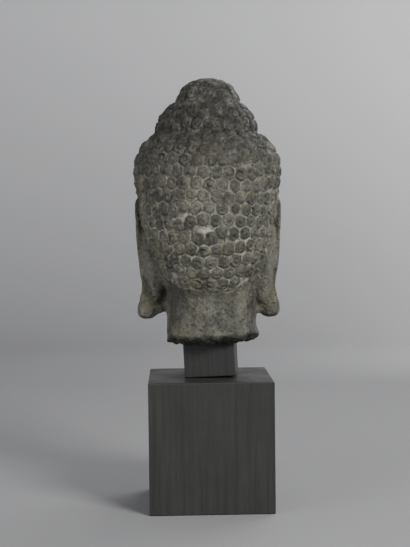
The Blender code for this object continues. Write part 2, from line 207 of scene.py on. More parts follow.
def bump(x, z, middle_x, middle_z, across, tall):
    """A rounded mound of height 1 on the front of the face."""
    inside = 1 - ((x - middle_x) / across) ** 2 - ((z - middle_z) / tall) ** 2
    return np.clip(inside, 0, 1) ** 1.2


def face_relief(x, z):
    """How far the features stand out from the plain face, towards the front."""
    side = np.abs(x)
    down = np.clip((NOSE_TOP - z) / (NOSE_TOP - NOSE_BASE), 0, 1)
    nose = (5 + 11 * down) * np.exp(-(side / (7.5 + 5 * down)) ** 2.5)
    relief = nose * ramp(z, NOSE_BASE - 5, NOSE_BASE + 8) * (1 - ramp(z, NOSE_TOP - 8, NOSE_TOP + 14))
    relief = relief + 6 * bump(side, z, NOSTRIL_OUT, NOSE_BASE + 6, 8, 8)
    relief = relief + 3 * bump(side, z, CHEEK_OUT, NOSE_BASE + 2, 26, 24)
    lip_line = LIP_HEIGHT + 4 * (side / MOUTH_HALF) ** 2
    bow = 1.5 * np.exp(-((side - 6) / 5) ** 2)
    upper = np.exp(-((z - lip_line - 5 - bow) / 5) ** 2) * (1 - ramp(side, 14, MOUTH_HALF + 4))
    lower = np.exp(-((z - lip_line + 6.5) / 5.5) ** 2) * (1 - ramp(side, 8, MOUTH_HALF + 1))
    mouth = np.exp(-((z - lip_line) / 2) ** 2) * (1 - ramp(side, MOUTH_HALF - 3, MOUTH_HALF + 5))
    relief = relief + 5.5 * upper + 6 * lower - 3.5 * mouth
    relief = relief - 2 * bump(side, z, MOUTH_HALF + 5, LIP_HEIGHT + 4, 5, 6)
    relief = relief - 1.5 * np.exp(-((z - CHIN_FOLD) / 3.5) ** 2) * (1 - ramp(side, 8, 22))
    arch = BROW_HEIGHT + BROW_ARCH * np.sin(np.pi * np.clip((side - 2) / 66, 0, 1)) ** 0.8
    under = arch - z
    socket = ramp(under, 0, 9) * (1 - ramp(under, 14, 32)) * ramp(side, 4, 14)
    relief = relief - 7.5 * socket * (1 - ramp(side, 46, 62))
    relief = relief + 8 * bump(side, z, EYE_OUT, EYE_HEIGHT, 20, 13)
    bend = ((side - EYE_OUT) / 18) ** 2
    slit = np.exp(-((z - EYE_HEIGHT + 4 - 3 * bend) / 1.8) ** 2)
    relief = relief - 2.5 * slit * bump(side, z, EYE_OUT, EYE_HEIGHT - 3, 20, 12)
    lid = np.exp(-((z - EYE_HEIGHT - 5 + 6 * bend) / 1.6) ** 2)
    relief = relief - 1.2 * lid * bump(side, z, EYE_OUT, EYE_HEIGHT + 3, 20, 10)
    brow = np.exp(-(under / 3.5) ** 2) * ramp(side, 3, 10) * (1 - ramp(side, 50, 62))
    return relief + 2.5 * brow + 3 * bump(x, z, 0, URNA_HEIGHT, 5.5, 5.5)


def bearing(x, y):
    """Degrees around the head from the middle of the face, 0 to 180 on either side."""
    return np.degrees(np.arctan2(np.abs(x), -(y - CRANIUM["middle"][1])))


def ear(x, y, z):
    """One long ear on each side, with its hollow and the slit in its lobe."""
    side = np.abs(x)
    edge, back, length, thick, turn = (along(EAR_LINE, z, column) for column in range(1, 6))
    turn = np.radians(turn)
    out = edge - length * np.sin(turn) - 0.3 * thick
    rearward = (side - out) * np.sin(turn) + (y - back) * np.cos(turn)
    outward = (side - out) * np.cos(turn) - (y - back) * np.sin(turn)
    band = (np.sqrt((rearward / length) ** 2 + (outward / thick) ** 2) - 1) * thick
    top = np.maximum(z - EAR_LINE[-1][0], 0)
    hollow = ellipsoid(rearward, outward, z, *EAR_HOLLOW)
    slit = ellipsoid(rearward, outward - thick, z, *LOBE_SLIT)
    pierced = trim(band + top, -join(hollow, slit, 3), 2.5)
    return trim(pierced, LOBE_END - z, 9)


def flesh(x, y, z):
    """Face, skull under the hair, and neck."""
    side = np.abs(x)
    front = y + face_relief(x, z) * (1 - ramp(y, -50, -20))
    egg = ellipsoid(x, front + FACE_TILT * (FACE_EGG[0][2] - z), z, *FACE_EGG)
    face = join(join(egg, ellipsoid(x, front, z, *CHIN), 14), ellipsoid(x, front, z, *FOREHEAD), 8)
    skull = dome(x, y, z, dict(CRANIUM, drop=SKULL_DROP), 6)
    head = join(face, join(skull, ellipsoid(x, y, z, *SKULL_BASE), 14), 10)
    flare = CORNER_FLARE * ramp(-x, 25, 55) * np.exp(-((z - 8) / 9) ** 2)
    plan = np.hypot((x - NECK_MIDDLE[0]) / NECK_ACROSS, (y - NECK_MIDDLE[1]) / NECK_DEEP)
    neck = trim((plan - 1) * NECK_DEEP - flare, z - NECK_TOP, 8)
    sides = join(ellipsoid(side, y, z, *EAR_WEB), ellipsoid(side, y, z, *BEHIND_EAR), 6)
    return join(join(head, neck, 7), sides, 8)


def hair(x, y, z):
    """The three tiers of hair without their curls, ending at the hairline."""
    above = (along(HAIRLINE, bearing(x, y)) - z) * 0.7
    low = trim(dome(x, y, z, CRANIUM), above, 2)
    return join(join(low, dome(x, y, z, MIDDLE_TIER), 8), dome(x, y, z, TOP_KNOT), 8)


def broken_rim(x, y):
    """Height of the neck's broken underside, higher at the back and at one corner."""
    level = RIM_SLOPE * (RIM_MIDDLE - x) + LEFT_CORNER_SLOPE * np.maximum(x - RIM_MIDDLE, 0)
    level = level + RIGHT_CORNER_SLOPE * np.maximum(RIGHT_CORNER - x, 0)
    rear = ramp(np.hypot(x - NECK_MIDDLE[0], y - NECK_MIDDLE[1]), 44, 57) * ramp(y, 8, 32)
    chips = 0.7 * np.sin(x / 5.3 + y / 9.1) + 0.5 * np.sin(y / 4.1 - x / 7.7)
    return level + REAR_LIP * rear + chips + 1.0


def head_field(x, y, z):
    """The whole head, negative in the stone."""
    solid = join(join(flesh(x, y, z), hair(x, y, z), 1.5), ear(x, y, z), 5)
    return trim(solid, broken_rim(x, y) - z, 1.5)


def on_dome(places, shape):
    """The places moved straight out from the middle of a dome onto its surface."""
    middle = np.array(shape["middle"], float)
    return middle + (places - middle) / dome_ratio(*places.T, shape)[:, None]


def dome_share(shape, height):
    """Size of a dome's level section at a height, as a share of its widest one."""
    up = height - shape["middle"][2]
    tall = abs(up) / (shape["rise"] if up > 0 else shape["drop"])
    return max(1 - tall ** shape["square"], 0) ** (1 / shape["square"])


def curl_rows(shape, low, high, spacing):
    """Staggered, slightly uneven rows of curls around a dome, from one height to another."""
    draw = np.random.default_rng(5)
    places = []
    height, row = low, 0
    while height <= high:
        share = dome_share(shape, height)
        wide, deep = shape["across"] * share, shape["deep"] * share
        number = max(round(math.pi * (wide + deep) / spacing), 1)
        for i in range(number):
            turn = math.pi + 2 * math.pi * (i + 0.5 * (row % 2) + draw.uniform(-0.2, 0.2)) / number
            wave = 0.12 * min(row, 3) * math.sin(3 * turn + 0.8 * row)
            uneven = spacing * (wave + draw.uniform(-0.22, 0.22))
            places.append((shape["middle"][0] + wide * math.sin(turn),
                           shape["middle"][1] - deep * math.cos(turn), height + uneven))
        walked = 0
        while walked < ROW_SHARE * spacing:
            narrower = share - dome_share(shape, height + ROW_SEARCH)
            walked += math.hypot(ROW_SEARCH, shape["across"] * narrower)
            height += ROW_SEARCH
            share -= narrower
        row += 1
    return np.array(places)


def hairline_room(places):
    """How far the middle of each curl lies above its lowest place over the hairline."""
    return places[:, 2] - along(HAIRLINE, bearing(places[:, 0], places[:, 1])) - HAIRLINE_ROOM


def curl_places():
    """Middles and radii of all the curls, eased apart on the surface of their tier."""
    top = (TOP_KNOT["middle"][0], TOP_KNOT["middle"][1], TOP_KNOT["middle"][2] + TOP_KNOT["rise"])
    tiers, radii = [[top]], [CURL_RADIUS * CURL_SPACING * CURL_TIERS[-1][3]]
    for shape, low, high, share in CURL_TIERS:
        spacing = CURL_SPACING * share
        places = curl_rows(shape, low, high, spacing)
        rise = along(HAIRLINE, bearing(places[:, 0], places[:, 1])) - HAIRLINE[-1][1]
        low_down = 1 - ramp(places[:, 2], HAIRLINE[-1][1], ARC_TOP)
        places[:, 2] += ROW_ARC * ramp(rise, 0, 50) * low_down
        places = places[hairline_room(places) > -HAIRLINE_ROOM]
        for _ in range(40):
            apart = places[:, None] - places[None]
            gap = np.linalg.norm(apart, axis=2) + 1e6 * np.eye(len(places))
            push = 0.22 * np.clip(spacing - gap, 0, None) / gap
            places = places + (apart * push[..., None]).sum(axis=1)
            places[:, 2] += np.clip(-hairline_room(places), 0, 2)
            places[:, 2] = np.clip(places[:, 2], low, high + 2)
            places = on_dome(places, shape)
        tiers.append(places)
        radii += [CURL_RADIUS * spacing] * len(places)
    return np.concatenate(tiers), np.array(radii)


def worn_crown(height):
    """How much of its height a curl keeps, less up the crown and least at its top."""
    return 1 - 0.35 * ramp(height, 245, 305) - 0.4 * ramp(height, 316, 329)


def gradient(field, points):
    """Direction and steepness of a field at each point."""
    reach = 0.4
    slopes = []
    for axis in range(3):
        shift = np.zeros(3)
        shift[axis] = reach
        slopes.append((field(*(points + shift).T) - field(*(points - shift).T)) / (2 * reach))
    return np.stack(slopes, axis=1)


def noise(points, size, seed):
    """Smooth noise between -1 and 1 with lumps of a size."""
    place = points / size
    cell = np.floor(place)
    f = place - cell
    f = f * f * (3 - 2 * f)
    total = np.zeros(len(points))
    for corner in np.ndindex(2, 2, 2):
        at = (cell + corner) @ np.array((127.1, 311.7, 74.7)) + 19.19 * seed
        value = np.modf(np.abs(np.sin(at) * 43758.5453))[0]
        weight = np.prod(np.where(np.array(corner) == 1, f, 1 - f), axis=1)
        total += value * weight
    return 2 * total - 1


def nearest_curl(points, normals):
    """The nearest curl, its distance in radii and bearing, and how much farther the next one is."""
    number = np.zeros(len(points), int)
    distance = np.zeros(len(points))
    beyond = np.zeros(len(points))
    turn = np.zeros(len(points))
    for start in range(0, len(points), 4000):
        part = slice(start, start + 4000)
        away = points[part, None] - curls[None]
        square = (away ** 2).sum(axis=2)
        near = np.argmin(square, axis=1)
        two = np.sqrt(np.partition(square, 1, axis=1)[:, :2])
        beyond[part] = two[:, 1] - two[:, 0]
        away = away[np.arange(len(near)), near]
        away = away - (away * normals[part]).sum(axis=1)[:, None] * normals[part]
        distance[part] = np.linalg.norm(away, axis=1) / curl_radius[near]
        turn[part] = np.arctan2((away * curl_up[near]).sum(axis=1),
                                (away * curl_side[near]).sum(axis=1))
        number[part] = near
    return number, distance, turn, beyond


def curl_form(points, normals):
    """Height of the curls at each point, its share of groove, rim (dirt and painted shade), coil
    (painted shade and highlight) and hair.
    """
    number, distance, turn, beyond = nearest_curl(points, normals)
    on_hair = 1 - ramp(hair(*points.T), 0.5, 2.5)
    mound = np.clip(1 - distance ** 4.5, 0, 1) ** 0.55
    coil = 0.5 + 0.5 * np.cos(2 * np.pi * (CURL_TURNS * distance - turn / (2 * np.pi)
                                           - curl_phase[number]))
    ring = ramp(distance, 0.12, 0.3) * (1 - ramp(distance, 0.78, 0.95))
    groove = (1 - coil) ** 1.5 * ring * curl_crisp[number]
    boss = np.exp(-(distance / 0.2) ** 2) * curl_crisp[number]
    height = CURL_RELIEF * curl_tall[number] * mound - COIL_DEPTH * groove + BOSS_HEIGHT * boss
    between = np.maximum(1 - ramp(beyond, 0.5, 3.2), ramp(distance, 0.88, 1.0))
    height = height - 1.1 * (1 - ramp(beyond, 0.0, 2.6))
    rim = ramp(distance, 0.5, 0.72) * (1 - between)
    painted_ridge_highlight = coil ** 3 * ramp(distance, 0.15, 0.3) * (1 - ramp(distance, 0.7, 0.9)) * curl_crisp[number]
    inner = on_hair * ramp(hairline_room(points), -HAIRLINE_ROOM, 5 - HAIRLINE_ROOM)
    return on_hair * height, inner * between, on_hair * rim, inner * (groove - 0.7 * painted_ridge_highlight), on_hair


def fill_pinches(value):
    """Adds stone where two walls would meet along a bare edge of the grid."""
    for one, two in ((0, 1), (0, 2), (1, 2)) * 4:
        corners = []
        for first in (slice(None, -1), slice(1, None)):
            for second in (slice(None, -1), slice(1, None)):
                window = [slice(None)] * 3
                window[one], window[two] = first, second
                corners.append(value[tuple(window)])
        inside = [corner < 0 for corner in corners]
        pinched = (inside[0] == inside[3]) & (inside[1] == inside[2]) & (inside[0] != inside[1])
        for corner in corners:
            corner[pinched] = np.minimum(corner[pinched], -0.1)


def field_values(field, axes):
    """A field on a grid, level by level."""
    value = np.empty([len(axis) for axis in axes])
    across, deep = np.meshgrid(axes[0], axes[1], indexing="ij")
    for level, height in enumerate(axes[2]):
        value[:, :, level] = field(across.ravel(), deep.ravel(),
                                   np.full(across.size, height)).reshape(across.shape)
    return value


def fine_values(field, low, high, step):
    """A field on a fine grid, worked out from a coarse one away from the surface."""
    coarse = [np.arange(a, b + 2 * step, 2 * step) for a, b in zip(low, high)]
    value = field_values(field, coarse)
    for axis in range(3):
        value = np.moveaxis(value, axis, 0)
        finer = np.empty((2 * len(value) - 1,) + value.shape[1:])
        finer[::2] = value
        finer[1::2] = (value[1:] + value[:-1]) / 2
        value = np.moveaxis(finer, 0, axis)
    value = np.ascontiguousarray(value)
    near = np.abs(value) < NEAR_SURFACE
    places = np.argwhere(near) * step + np.array(low)
    exact = np.concatenate([field(*part.T) for part in np.array_split(places, 40)])
    value[near] = exact
    return value


def carved(field, low, high, step):
    """Points and four-sided faces of a field's surface, one point for each cell it crosses."""
    value = fine_values(field, low, high, step)
    for axis in range(3):
        value = (np.roll(value, 1, axis) + 2 * value + np.roll(value, -1, axis)) / 4
    fill_pinches(value)
    inside = value < 0
    cells = tuple(n - 1 for n in value.shape)

    def corner(grid, offset):
        return grid[tuple(slice(o, o + n) for o, n in zip(offset, cells))]

    total = np.zeros(cells + (3,))
    crossings = np.zeros(cells)
    for axis in range(3):
        for first in (0, 1):
            for second in (0, 1):
                start = np.insert([first, second], axis, 0)
                end = np.insert([first, second], axis, 1)
                a, b = corner(value, start), corner(value, end)
                crossed = (a < 0) != (b < 0)
                place = np.where(crossed, a / np.where(crossed, a - b, 1), 0)
                for other in range(3):
                    total[..., other] += crossed * (place if other == axis else start[other])
                crossings += crossed
    used = crossings > 0
    index = np.full(cells, -1)
    index[used] = np.arange(used.sum())
    points = (np.argwhere(used) + total[used] / crossings[used][:, None]) * step + np.array(low)

    faces = []
    for axis in range(3):
        one, two = (axis + 1) % 3, (axis + 2) % 3
        ahead = np.roll(inside, -1, axis)
        edges = np.argwhere(inside != ahead)
        edges = edges[(edges[:, one] > 0) & (edges[:, two] > 0) & (edges[:, axis] < cells[axis])]
        ring = []
        for back_one, back_two in ((0, 0), (1, 0), (1, 1), (0, 1)):
            cell = edges.copy()
            cell[:, one] -= back_one
            cell[:, two] -= back_two
            ring.append(index[tuple(cell.T)])
        ring = np.stack(ring, axis=1)
        outward = inside[tuple(edges.T)]
        faces.append(np.where(outward[:, None], ring, ring[:, ::-1]))
    return points, np.concatenate(faces)


def unit(vectors):
    """The vectors at length 1."""
    return vectors / np.maximum(np.linalg.norm(vectors, axis=-1), 1e-9)[..., None]


# Spiral on each curl: its turns, and the depth of its coil and height of its boss
CURL_TURNS = 1.45
COIL_DEPTH = 2.0
BOSS_HEIGHT = 0.9

spacer_low, spacer_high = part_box("neck_block")
spacer_middle = (spacer_low + spacer_high) / 2
neck_bottom = spacer_middle.z + SPACER_SIZE.z / 2 * math.cos(SPACER_LEAN) - SEAT_DEPTH

draw = np.random.default_rng(7)
curls, curl_radius = curl_places()
curl_out = unit(gradient(hair, curls))
curl_side = unit(np.cross((0, 0, 1), curl_out) + 1e-6)
curl_up = np.cross(curl_out, curl_side)
curl_radius = curl_radius * draw.uniform(0.88, 1.06, len(curls))
curl_tall = draw.uniform(0.72, 1.08, len(curls))
curl_phase = draw.uniform(0, 1, len(curls))
worn = worn_crown(curls[:, 2])
curl_tall = curl_tall * worn
curl_crisp = draw.uniform(0.35, 1.0, len(curls)) * worn


def seated_head(x, y, z):
    """The head with the seat for the spacer block cut in its neck."""
    up = z + (neck_bottom - spacer_middle.z) / PART
    beside = x - spacer_middle.x / PART
    level = beside * math.cos(SPACER_TURN) + y * math.sin(SPACER_TURN)
    deep = y * math.cos(SPACER_TURN) - beside * math.sin(SPACER_TURN)
    across = level * math.cos(SPACER_LEAN) - up * math.sin(SPACER_LEAN)
    height = level * math.sin(SPACER_LEAN) + up * math.cos(SPACER_LEAN)
    half = [side / 2 / PART for side in SPACER_SIZE]
    walls = np.maximum(np.abs(across) - half[0], np.abs(deep) - half[1]) - SEAT_PLAY / PART
    seat = np.maximum(walls, np.abs(height) - half[2] - TOUCH_GAP / PART)
    return np.maximum(head_field(x, y, z), -seat)


def pit_noise(points):
    """Noise whose highest places become pits in the stone."""
    return noise(points, 4.2, 6) + 0.5 * noise(points, 11, 7)


def frontness(points):
    """How far each point lies to the front, 0 at the ears and 1 on the face."""
    return ramp(-points[:, 1], 15, 45)


def above_rim(points):
    """How far each point lies above the neck's broken underside."""
    return points[:, 2] - broken_rim(points[:, 0], points[:, 1])


points, faces = carved(seated_head, HEAD_LOW, HEAD_HIGH, CARVING_STEP)
for _ in range(2):
    slope = gradient(seated_head, points)
    steep = np.maximum((slope ** 2).sum(axis=1), 0.05)
    points = points - slope * np.clip(seated_head(*points.T) / steep, -0.8, 0.8)[:, None]
normals = unit(gradient(head_field, points))
height, *_, on_hair = curl_form(points, normals)

# Wear is least on the hair and the face, and none in the seat. The break is roughest.
in_seat = ((np.abs(points[:, 0]) < SEAT_REACH) & (np.abs(points[:, 1]) < SEAT_REACH)
           & (points[:, 2] < SEAT_TOP))
worn_away = 0.55 * noise(points, 17, 1) + 0.36 * noise(points, 6, 2) + 0.22 * noise(points, 2.8, 3)
worn_away = worn_away - ramp(pit_noise(points), 0.35, 0.95)
bare = 1 - 0.3 * on_hair - 0.6 * frontness(points) * (1 - on_hair)
at_break = 1 - ramp(above_rim(points), 2, 7)
break_rough = at_break * (noise(points, 8, 4) + 0.7 * noise(points, 3.5, 5))
height = height + np.where(in_seat, 0, worn_away * bare + 1.5 * break_rough - 0.1)
points = points + normals * height[:, None]

head_low, head_high = (np.array(corner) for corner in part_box("buddha_head"))
points = np.clip(points * PART + np.array((0, 0, neck_bottom)), head_low, head_high)
mesh = bpy.data.meshes.new("carved_head")
mesh.from_pydata(points.tolist(), [], faces.tolist())
mesh.update()
head = bpy.data.objects.new("carved_head", mesh)
bpy.context.collection.objects.link(head)
bpy.ops.object.select_all(action="DESELECT")
head.select_set(True)
bpy.context.view_layer.objects.active = head
fewer = head.modifiers.new("Fewer facets", "DECIMATE")
fewer.ratio = HEAD_TRIANGLES / (2 * len(faces))
fewer.use_collapse_triangulate = True
bpy.ops.object.modifier_apply(modifier="Fewer facets")
bpy.ops.object.shade_smooth()

count = len(head.data.vertices)
placed = np.empty(3 * count, np.float32)
head.data.vertices.foreach_get("co", placed)
placed = (placed.reshape(-1, 3).astype(float) - (0, 0, neck_bottom)) / PART
placed_normals = unit(gradient(head_field, placed))
_, groove, rim, coil, on_hair = curl_form(placed, placed_normals)
porous = 1 - (0.5 + 0.25 * frontness(placed)) * (1 - on_hair)
# Masks for the painted shade in the pits and on the downward-facing break
pits = ramp(pit_noise(placed), 0.3, 0.8) * porous
broken = 1 - ramp(above_rim(placed), 2.0, 5.5)
for name, value in (("groove", groove), ("rim", rim), ("coil", coil), ("pits", pits),
                    ("broken", broken), ("porous", porous)):
    layer = head.data.attributes.new(name, "FLOAT", "POINT")
    layer.data.foreach_set("value", value.astype(np.float32))


def node(tree, kind, place, **values):
    """A shader node with the values of its properties and inputs."""
    made = tree.nodes.new(kind)
    made.location = place
    for name, value in values.items():
        if hasattr(made, name):
            setattr(made, name, value)
        else:
            made.inputs[name.replace("_", " ")].default_value = value
    return made


def feed(tree, target, value):
    """Gives a socket a value, or a link from another socket."""
    if isinstance(value, bpy.types.NodeSocket):
        tree.links.new(value, target)
    else:
        target.default_value = value


def blank_material(name):
    """A material with its nodes, its Principled BSDF and no more."""
    made = bpy.data.materials.new(name)
    made.use_nodes = True
    return made, made.node_tree, made.node_tree.nodes["Principled BSDF"]


def mixed(tree, place, factor, first, second):
    """A colour mix of two colours or sockets by a factor."""
    made = node(tree, "ShaderNodeMix", place, data_type="RGBA")
    for index, value in ((0, factor), (6, first), (7, second)):
        feed(tree, made.inputs[index], value)
    return made.outputs[2]


def sums(tree, place, way, first, second, clamped=False):
    """Two masks or values put together by a sum, a product or the like."""
    made = node(tree, "ShaderNodeMath", place, operation=way, use_clamp=clamped)
    feed(tree, made.inputs[0], first)
    feed(tree, made.inputs[1], second)
    return made.outputs[0]


def product(tree, place, first, second):
    """Two masks or values multiplied."""
    return sums(tree, place, "MULTIPLY", first, second)


def spread(tree, place, value, low, high):
    """A value spread from 0 at its low to 1 at its high."""
    made = node(tree, "ShaderNodeMapRange", place, From_Min=low, From_Max=high)
    feed(tree, made.inputs["Value"], value)
    return made.outputs["Result"]


def speckle(tree, place, size, low, high, detail=4.0, stretch=(1, 1, 1)):
    """Noise of a size in metres, spread from 0 at its low to 1 at its high."""
    where = node(tree, "ShaderNodeTexCoord", (place[0] - 600, place[1]))
    turned = node(tree, "ShaderNodeMapping", (place[0] - 400, place[1]), Scale=stretch)
    tree.links.new(where.outputs["Object"], turned.inputs["Vector"])
    made = node(tree, "ShaderNodeTexNoise", (place[0] - 200, place[1]), Scale=1 / size,
                Detail=detail, Roughness=0.62)
    tree.links.new(turned.outputs["Vector"], made.inputs["Vector"])
    return spread(tree, place, made.outputs["Fac"], low, high)


# Colours of the stone, from black, which also paints shade in hollows, to the pale crust
STONE_BLACK = (0.006, 0.0055, 0.0045, 1)
STONE_DARK = (0.020, 0.019, 0.0155, 1)
STONE_MID = (0.078, 0.078, 0.066, 1)
STONE_PALE = (0.400, 0.390, 0.310, 1)
STONE_DUST_AND_HIGHLIGHT = (0.200, 0.192, 0.145, 1)
LICHEN = (0.150, 0.138, 0.066, 1)

# Sizes of its patterns in metres
PATCH_SIZE = 0.030
STREAK_SIZE = 0.021
GRAIN_SIZE = 0.0042
GRIT_SIZE = 0.0027
SOOTY_GRIT_SIZE = 0.0038
RIM_SHADE_AND_DIRT_SIZE = 0.012
DEPOSIT_SIZE = 0.024
THIN_CRUST_AND_HIGHLIGHT_SIZE = 0.0052
BLOTCH_SIZE = 0.011
DUST_AND_LIGHT_SIZE = 0.019
LICHEN_SIZE = 0.030
MOTTLE_SIZE = 0.024
HOLE_SIZE = 0.0060
SOOT_SIZE = 0.011
GLOSS_SIZE = 0.008
PORE_SIZE = 0.0034

# Heights over the table between which the crust fades out and the soot comes in, and how far to
# the side of the middle the dust and its painted light fade out
CRUST_FULL, CRUST_END = 0.36, 0.44
SOOT_START, SOOT_FULL = 0.390, 0.460
DUST_AND_LIGHT_FULL, DUST_AND_LIGHT_END = 0.02, 0.085

stone, tree, shader = blank_material("volcanic_stone")
groove_mask, rim_shade_and_dirt_mask, pit_shade_mask, break_shade_mask, porous_mask, coil_shade_and_highlight_mask = (
    node(tree, "ShaderNodeAttribute", (-1900, 600 - 150 * i), attribute_name=name).outputs["Fac"]
    for i, name in enumerate(("groove", "rim", "pits", "broken", "porous", "coil")))
hairy_mask = spread(tree, (-1300, -800), porous_mask, 0.6, 1.0)
bare_mask = spread(tree, (-900, 1100), porous_mask, 0.9, 0.5)
position = node(tree, "ShaderNodeSeparateXYZ", (-1900, 900))
tree.links.new(node(tree, "ShaderNodeTexCoord", (-2100, 900)).outputs["Object"],
               position.inputs["Vector"])
low_down = node(tree, "ShaderNodeMapRange", (-1300, -900), From_Min=CRUST_END, From_Max=CRUST_FULL,
                To_Min=0.2)
feed(tree, low_down.inputs["Value"], position.outputs["Z"])

# Dark and lighter patches, with darker streaks
patches = speckle(tree, (-1500, 200), PATCH_SIZE, 0.40, 0.62, 5.0)
streaks = product(tree, (-1300, 1400), spread(tree, (-1400, 1600), porous_mask, 1.8, 0.5),
                  speckle(tree, (-1500, 1500), STREAK_SIZE, 0.43, 0.58, 5.0, (1, 1, 0.5)))
colour = mixed(tree, (-1300, 200), patches, STONE_DARK, STONE_MID)
colour = mixed(tree, (-1200, 300), streaks, colour, STONE_DARK)

# Grains, pale grit and sooty grit
grains = product(tree, (-1300, 0), speckle(tree, (-1500, 0), GRAIN_SIZE, 0.33, 0.67, 6.0),
                 porous_mask)
grit = product(tree, (-1400, 1000), speckle(tree, (-1500, 1100), GRIT_SIZE, 0.43, 0.62, 4.0),
               porous_mask)
sooty_grit = product(tree, (-1400, 1300),
                     speckle(tree, (-1500, 1300), SOOTY_GRIT_SIZE, 0.44, 0.60, 3.0), porous_mask)
colour = mixed(tree, (-1100, 200), grains, colour,
               mixed(tree, (-1300, 400), 0.30, STONE_MID, STONE_PALE))
colour = mixed(tree, (-1000, 400), product(tree, (-1300, 900), grit, 0.46), colour, STONE_PALE)
colour = mixed(tree, (-900, 400), product(tree, (-1300, 1200), sooty_grit, 0.58), colour,
               STONE_BLACK)

# Curls: dark rims, partly dirt and partly painted shade; dust, with painted light on the middle
# of the hair; painted highlight on the ridges of the coils and painted shade in their grooves
# Dark rims where each curl slopes down among its neighbours: partly dirt, partly painted shade
rim_shade_and_dirt = product(tree, (-1100, 0), rim_shade_and_dirt_mask, speckle(tree, (-1500, -200), RIM_SHADE_AND_DIRT_SIZE, 0.30, 0.55))
# Dust on the hair, low down and towards the middle: partly dust, partly a painted pool of light
aside = sums(tree, (-1700, 900), "ABSOLUTE", position.outputs["X"], 0.0)
dust_and_light_place = product(tree, (-1500, 900), low_down.outputs["Result"],
                     spread(tree, (-1600, 800), aside, DUST_AND_LIGHT_END, DUST_AND_LIGHT_FULL))
dust_and_painted_light = product(tree, (-1100, 700), product(tree, (-1200, 800), dust_and_light_place, hairy_mask),
               speckle(tree, (-1500, 1700), DUST_AND_LIGHT_SIZE, 0.28, 0.56, 5.0))
thin = speckle(tree, (-1500, -600), THIN_CRUST_AND_HIGHLIGHT_SIZE, 0.30, 0.58, 4.0)
# Painted highlight: pale on the ridges of each curl's coil
ridges = product(tree, (-900, -250), thin,
                 sums(tree, (-1000, -250), "MULTIPLY", coil_shade_and_highlight_mask, -1.0, True))
# Painted shade: black in the grooves of each curl's coil
painted_coil_shade = sums(tree, (-1000, -150), "MULTIPLY", coil_shade_and_highlight_mask, 0.95, True)
colour = mixed(tree, (-900, 200), product(tree, (-1000, -100), rim_shade_and_dirt, 0.68), colour, STONE_DARK)
colour = mixed(tree, (-800, 200), product(tree, (-900, 600), dust_and_painted_light, 0.85), colour, STONE_DUST_AND_HIGHLIGHT)
colour = mixed(tree, (-750, 400), ridges, colour, STONE_DUST_AND_HIGHLIGHT)
colour = mixed(tree, (-720, 300), painted_coil_shade, colour, STONE_BLACK)

# Pale crust in the grooves and in blotches, less of it up the crown
deposit = speckle(tree, (-1500, -400), DEPOSIT_SIZE, 0.40, 0.60, 5.0)
crust = product(tree, (-1100, -400), product(tree, (-1200, -400), groove_mask, deposit),
                product(tree, (-1200, -900), thin, low_down.outputs["Result"]))
crust = sums(tree, (-1000, -400), "MULTIPLY", crust, 1.5, True)
blotch = product(tree, (-1100, -600), speckle(tree, (-1500, -800), BLOTCH_SIZE, 0.50, 0.68, 4.0),
                 product(tree, (-1200, -700), thin, 0.5))
blotch_place = product(tree, (-1100, -800), low_down.outputs["Result"],
                       sums(tree, (-1200, -850), "MAXIMUM", hairy_mask, 0.35))
blotch = product(tree, (-1000, -600), blotch, blotch_place)
colour = mixed(tree, (-700, 200), sums(tree, (-900, -400), "MAXIMUM", crust, blotch), colour,
               STONE_PALE)

# Lichen, then dark and pale mottles on the bare stone
growth = speckle(tree, (-1500, -1000), LICHEN_SIZE, 0.53, 0.70, 4.0)
mottles = speckle(tree, (-700, 1100), MOTTLE_SIZE, 0.44, 0.56, 5.0, (1, 1, 0.6))
clear = sums(tree, (-600, 1200), "SUBTRACT", 1.0, mottles)
dark_mottles = product(tree, (-500, 1100), bare_mask, product(tree, (-600, 1000), mottles, 0.45))
pale_mottles = product(tree, (-500, 1200), bare_mask, product(tree, (-600, 1300), clear, 0.20))
colour = mixed(tree, (-500, 200), product(tree, (-700, -600), growth, 0.5), colour, LICHEN)
colour = mixed(tree, (-450, 400), dark_mottles, colour, STONE_DARK)
colour = mixed(tree, (-400, 400), pale_mottles, colour, STONE_DUST_AND_HIGHLIGHT)

# Painted shade in the holes, the pits and the downward-facing break, and soot over the crown
holes = product(tree, (-1300, -1200), speckle(tree, (-1500, -1200), HOLE_SIZE, 0.60, 0.70, 3.0),
                porous_mask)
hole_pit_and_break_shade = sums(tree, (-500, -200), "MAXIMUM", holes, product(tree, (-700, -200), pit_shade_mask, 0.65))
hole_pit_and_break_shade = sums(tree, (-400, -200), "MAXIMUM", hole_pit_and_break_shade, product(tree, (-500, -350), break_shade_mask, 0.95))
soot = product(tree, (-300, 600), speckle(tree, (-700, 900), SOOT_SIZE, 0.28, 0.56, 5.0),
               spread(tree, (-500, 700), position.outputs["Z"], SOOT_START, SOOT_FULL))
colour = mixed(tree, (-300, 200), product(tree, (-350, -50), hole_pit_and_break_shade, 0.85), colour, STONE_BLACK)
colour = mixed(tree, (-100, 200), soot, colour, STONE_DARK)
tree.links.new(colour, shader.inputs["Base Color"])

